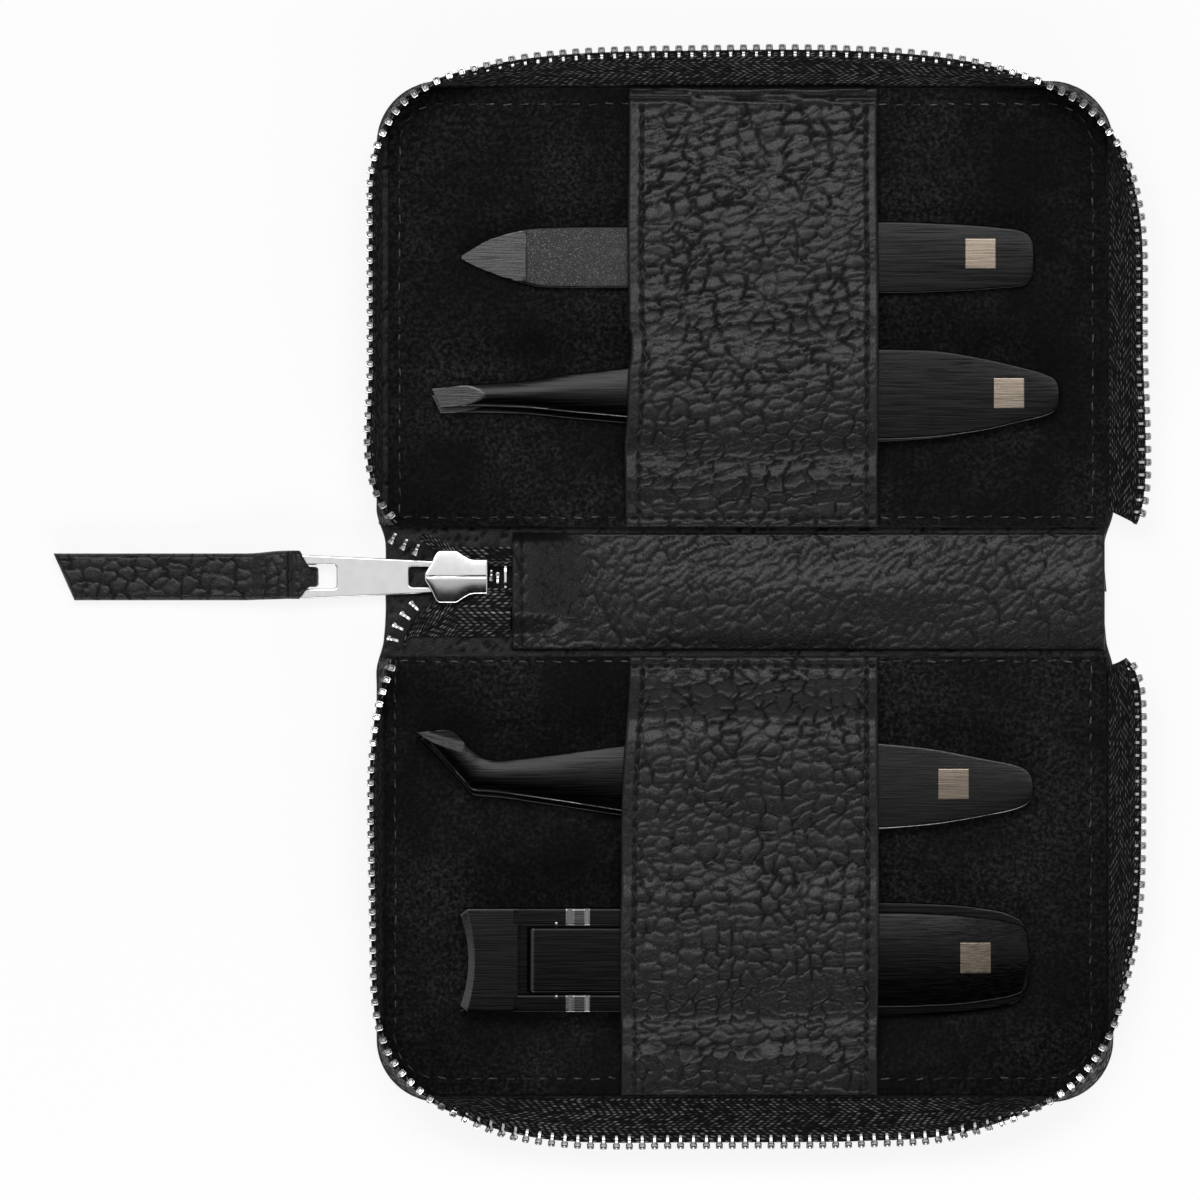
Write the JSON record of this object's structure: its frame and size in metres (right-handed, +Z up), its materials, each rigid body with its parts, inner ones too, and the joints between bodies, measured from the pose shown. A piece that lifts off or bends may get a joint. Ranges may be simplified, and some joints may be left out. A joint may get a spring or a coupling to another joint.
{
  "type": "manicure set case",
  "caption": "Zip-round black leather case lying open, with a nail file, slant tweezers, cuticle tweezers and a slim clipper held under pebbled leather bands.",
  "frame": {"origin": "middle of the spine's outer face, on the surface that the open case lies on", "axes": "+Z up out of the open case, +Y from the spine towards the lid half, +X along the spine away from the zip's slider"},
  "size_m": [0.1571, 0.1578, 0.0117],
  "materials": {
    "black_leather": "pebbled, soft sheen",
    "grey_board": "matt board, hidden between the leather and the suede",
    "black_suede": "matt nap",
    "black_tape": "herringbone woven tape",
    "silver_zip": "satin silver plating",
    "black_steel": "brushed, black coated",
    "dark_file": "dark abrasive blade with a brushed handle"
  },
  "bodies": {
    "base": {"base_cover": "black_leather", "base_board": "grey_board", "base_lining": "black_suede", "base_band": "black_leather", "base_zip_tape": "black_tape", "base_zip_teeth": "silver_zip"},
    "spine": {"spine_cover": "black_leather", "spine_lining": "black_leather", "zip_end_tape_lid": "black_tape", "zip_end_tape_base": "black_tape", "zip_end_teeth_lid": "silver_zip", "zip_end_teeth_base": "silver_zip", "zip_chain_end": "silver_zip", "zip_bottom_stop": "silver_zip"},
    "lid": {"lid_cover": "black_leather", "lid_board": "grey_board", "lid_lining": "black_suede", "lid_band": "black_leather", "lid_zip_tape": "black_tape", "lid_zip_teeth": "silver_zip"},
    "slider": {"slider_body": "silver_zip", "slider_bridge": "silver_zip"},
    "pull": {"pull_tab": "silver_zip"},
    "strap": {"pull_strap": "black_leather"},
    "file": {"nail_file": "dark_file"},
    "tweezers": {"tweezers_lower_leaf": "black_steel"},
    "tweezers_leaf": {"tweezers_upper_leaf": "black_steel"},
    "nipper": {"nipper_lower_leaf": "black_steel"},
    "nipper_leaf": {"nipper_upper_leaf": "black_steel"},
    "clipper": {"clipper_lower_jaw": "black_steel", "clipper_rivet": "black_steel"},
    "clipper_jaw": {"clipper_upper_jaw": "black_steel", "clipper_lever_pin": "silver_zip"},
    "clipper_lever": {"clipper_lever": "black_steel"}
  },
  "joints": [
    {"name": "spine_fold", "type": "hinge", "parent": "base", "child": "spine", "pos_m": [0, -0.0089, 0.0031], "axis": [1, 0, 0], "range_deg": [0, 90]},
    {"name": "lid_fold", "type": "hinge", "parent": "spine", "child": "lid", "pos_m": [0, 0.0089, 0.0031], "axis": [1, 0, 0], "range_deg": [0, 90]},
    {"name": "slider_travel", "type": "slide", "parent": "spine", "child": "slider", "axis": [1, 0, 0], "range_m": [0, 0.002]},
    {"name": "pull_swing", "type": "hinge", "parent": "slider", "child": "pull", "pos_m": [-0.04385, 0.0021, 0.00255], "axis": [0, -1, 0], "range_deg": [-25, 0]},
    {"name": "strap_swing", "type": "hinge", "parent": "pull", "child": "strap", "pos_m": [-0.0637, 0.0021, 0.00255], "axis": [0, 1, 0], "range_deg": [0, 60]},
    {"name": "file_slide", "type": "slide", "parent": "lid", "child": "file", "axis": [1, 0, 0], "range_m": [-0.008, 0.009]},
    {"name": "tweezers_slide", "type": "slide", "parent": "lid", "child": "tweezers", "axis": [1, 0, 0], "range_m": [-0.005, 0.006]},
    {"name": "tweezers_squeeze", "type": "hinge", "parent": "tweezers", "child": "tweezers_leaf", "pos_m": [0.0448, 0.028, 0.0046], "axis": [0, -1, 0], "range_deg": [0, 1], "stiffness_Nm_per_rad": 2},
    {"name": "nipper_slide", "type": "slide", "parent": "base", "child": "nipper", "axis": [1, 0, 0], "range_m": [-0.003, 0.009]},
    {"name": "nipper_squeeze", "type": "hinge", "parent": "nipper", "child": "nipper_leaf", "pos_m": [0.04105, -0.0277, 0.0046], "axis": [0, -1, 0], "range_deg": [0, 1], "stiffness_Nm_per_rad": 2},
    {"name": "clipper_slide", "type": "slide", "parent": "base", "child": "clipper", "axis": [1, 0, 0], "range_m": [-0.008, 0.009]},
    {"name": "clipper_bite", "type": "hinge", "parent": "clipper", "child": "clipper_jaw", "pos_m": [0.0001, -0.0524, 0.00435], "axis": [0, -1, 0], "range_deg": [0, 0.6], "stiffness_Nm_per_rad": 6},
    {"name": "lever_lift", "type": "hinge", "parent": "clipper_jaw", "child": "clipper_lever", "pos_m": [-0.0269, -0.0524, 0.00615], "axis": [0, -1, 0], "range_deg": [0, 0.4]}
  ],
  "couplings": [
    {"joint": "lid_fold", "follows": "spine_fold", "ratio": 1}
  ]
}
